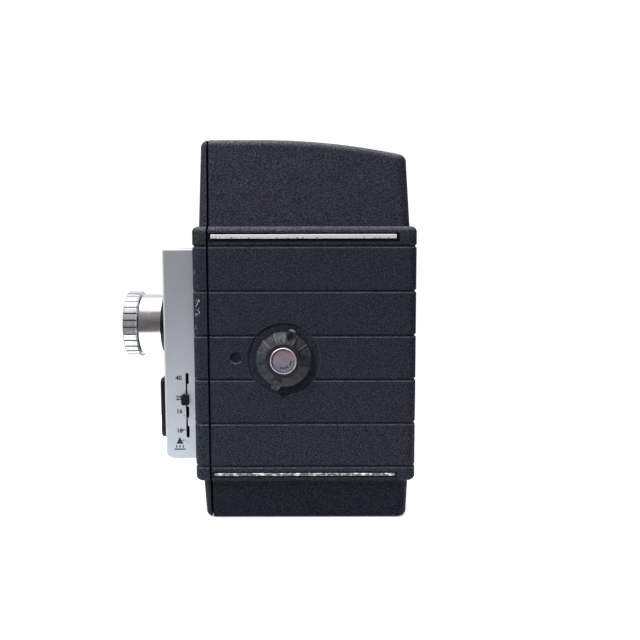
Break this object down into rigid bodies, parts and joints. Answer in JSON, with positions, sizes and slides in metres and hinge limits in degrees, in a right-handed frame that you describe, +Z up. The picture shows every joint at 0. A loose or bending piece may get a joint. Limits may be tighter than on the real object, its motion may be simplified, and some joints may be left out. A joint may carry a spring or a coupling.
{
  "type": "cine camera",
  "caption": "Clockwork 8 mm cine camera: ribbed black body with viewfinder hood, lift-off film door, light-metal meter plate, focusing lens, spring motor, shutter and film spools.",
  "frame": {"origin": "mouth of the tripod socket, in the base plane, midway along the body's belt", "axes": "+Z up, lens faces -Y, film door at +X, wind key at -X"},
  "size_m": [0.0701, 0.1067, 0.137],
  "materials": {
    "crackle_black": "wrinkle paint on die-cast alloy",
    "smooth_black": "smooth gloss black",
    "knob_black": "moulded, worn satin",
    "trim_silver": "polished, worn",
    "plate_aluminium": "vertically brushed, anodised",
    "lens_chrome": "polished",
    "disc_silver": "satin with bright rim",
    "steel": "turned",
    "spring_steel": "blued",
    "brass": "machined",
    "cast_alloy": "as cast and machined",
    "inner_black": "flat black",
    "spool_grey": "baked enamel",
    "glass": "coated",
    "cell_window": "moulded lenslets",
    "selenium": "selenium photocell",
    "dial_ivory": "matte"
  },
  "bodies": {
    "root": {"main_casing": "crackle_black", "base_tray": "crackle_black", "front_casing": "crackle_black", "front_plate": "plate_aluminium", "casing_trim_strips": "trim_silver", "case_screws": "steel", "tripod_socket": "brass", "mechanism_plate": "cast_alloy", "plate_pillars": "steel", "aperture_plate": "steel", "gate_bracket": "steel", "pressure_spring": "spring_steel", "supply_spindle": "steel", "keeper_post": "steel", "shutter_bearing": "brass", "photocell_frame": "smooth_black", "photocell_window": "cell_window", "selenium_cell": "selenium", "meter_movement": "cast_alloy", "lens_base_ring": "smooth_black", "lens_barrel": "lens_chrome", "lens_rear_tube": "inner_black", "rear_lenses": "glass", "viewfinder_tube": "inner_black", "finder_lenses": "glass", "eyepiece_ring": "smooth_black", "counter_window": "glass", "key_escutcheon": "plate_aluminium"},
    "film_door": {"film_door": "crackle_black", "door_trim_strips": "trim_silver", "latch_bush": "brass"},
    "latch": {"latch_knob": "knob_black", "latch_disc": "disc_silver", "latch_cup": "steel"},
    "wind_key": {"key_arbor": "steel", "key_hub": "lens_chrome"},
    "key_bail": {"key_bail": "lens_chrome"},
    "spring_barrel": {"mainspring_barrel": "brass", "barrel_gear": "brass", "mainspring": "spring_steel"},
    "train": {"train_shaft": "steel", "contrate_wheel": "brass"},
    "shutter": {"shutter_shaft": "steel", "shutter_disc": "inner_black"},
    "governor": {"governor_shaft": "steel", "governor_weights": "brass"},
    "take_up": {"take_up_spindle": "steel", "take_up_spool_core": "spool_grey", "take_up_spool_flanges": "spool_grey"},
    "supply": {"supply_spool_core": "spool_grey", "supply_spool_flanges": "spool_grey"},
    "pressure_plate": {"pressure_plate": "steel"},
    "film_claw": {"film_claw": "spring_steel"},
    "speed_slider": {"film_speed_slider": "knob_black"},
    "focus_ring": {"focus_ring": "lens_chrome"},
    "front_cell": {"front_lens_cell": "smooth_black", "front_lens": "glass"},
    "run_button": {"run_button": "knob_black"},
    "iris_vane": {"iris_vane": "inner_black"},
    "counter": {"footage_dial": "dial_ivory"}
  },
  "joints": [
    {"name": "door_lift", "type": "slide", "parent": "root", "child": "film_door", "axis": [1, 0, 0], "range_m": [0, 0.045]},
    {"name": "latch_turn", "type": "hinge", "parent": "film_door", "child": "latch", "pos_m": [0.03, -0.0075, 0.0594], "axis": [1, 0, 0], "range_deg": [0, 90]},
    {"name": "key_turn", "type": "hinge", "parent": "root", "child": "wind_key", "pos_m": [-0.03, 0.0098, 0.0485], "axis": [-1, 0, 0], "continuous": true},
    {"name": "bail_fold", "type": "hinge", "parent": "wind_key", "child": "key_bail", "pos_m": [-0.0344, 0.0098, 0.0485], "axis": [0, 0, 1], "range_deg": [0, 90]},
    {"name": "barrel_turn", "type": "hinge", "parent": "root", "child": "spring_barrel", "pos_m": [-0.016, 0.0098, 0.0485], "axis": [1, 0, 0], "continuous": true},
    {"name": "train_turn", "type": "hinge", "parent": "root", "child": "train", "pos_m": [-0.014, -0.00936, 0.07], "axis": [1, 0, 0], "continuous": true},
    {"name": "shutter_turn", "type": "hinge", "parent": "root", "child": "shutter", "pos_m": [-0.006, -0.03, 0.07], "axis": [0, 1, 0], "continuous": true},
    {"name": "governor_turn", "type": "hinge", "parent": "root", "child": "governor", "pos_m": [-0.02, -0.00311, 0.08082], "axis": [1, 0, 0], "continuous": true},
    {"name": "take_up_turn", "type": "hinge", "parent": "root", "child": "take_up", "pos_m": [0, 0.0098, 0.033], "axis": [1, 0, 0], "continuous": true},
    {"name": "supply_turn", "type": "hinge", "parent": "root", "child": "supply", "pos_m": [0.01, 0.0098, 0.0846], "axis": [1, 0, 0], "continuous": true},
    {"name": "pressure_slide", "type": "slide", "parent": "root", "child": "pressure_plate", "axis": [0, 1, 0], "range_m": [0, 0.002], "stiffness_N_per_m": 200, "deforming": ["pressure_spring"]},
    {"name": "claw_stroke", "type": "slide", "parent": "root", "child": "film_claw", "axis": [0, 0, 1], "range_m": [-0.0019, 0.0019]},
    {"name": "speed_set", "type": "slide", "parent": "root", "child": "speed_slider", "axis": [0, 0, 1], "range_m": [-0.0116, 0.0078]},
    {"name": "focus_turn", "type": "hinge", "parent": "root", "child": "focus_ring", "pos_m": [0.008, -0.062, 0.07], "axis": [0, -1, 0], "range_deg": [0, 270]},
    {"name": "cell_advance", "type": "slide", "parent": "root", "child": "front_cell", "axis": [0, -1, 0], "range_m": [0, 0.0009]},
    {"name": "run_press", "type": "slide", "parent": "root", "child": "run_button", "axis": [0, 0, 1], "range_m": [-0.004, 0.004], "stiffness_N_per_m": 300},
    {"name": "iris_swing", "type": "hinge", "parent": "root", "child": "iris_vane", "pos_m": [-0.012, -0.0463, 0.07], "axis": [0, -1, 0], "range_deg": [0, 21], "stiffness_Nm_per_rad": 0.002},
    {"name": "counter_turn", "type": "hinge", "parent": "root", "child": "counter", "pos_m": [-0.026, 0.017, 0.09157], "axis": [1, 0, 0], "range_deg": [0, 300]}
  ],
  "couplings": [
    {"joint": "train_turn", "follows": "barrel_turn", "ratio": -5},
    {"joint": "shutter_turn", "follows": "barrel_turn", "ratio": 20},
    {"joint": "governor_turn", "follows": "barrel_turn", "ratio": 20},
    {"joint": "take_up_turn", "follows": "barrel_turn", "ratio": -1.8182},
    {"joint": "cell_advance", "follows": "focus_turn", "m_per_rad": 0.00019}
  ]
}
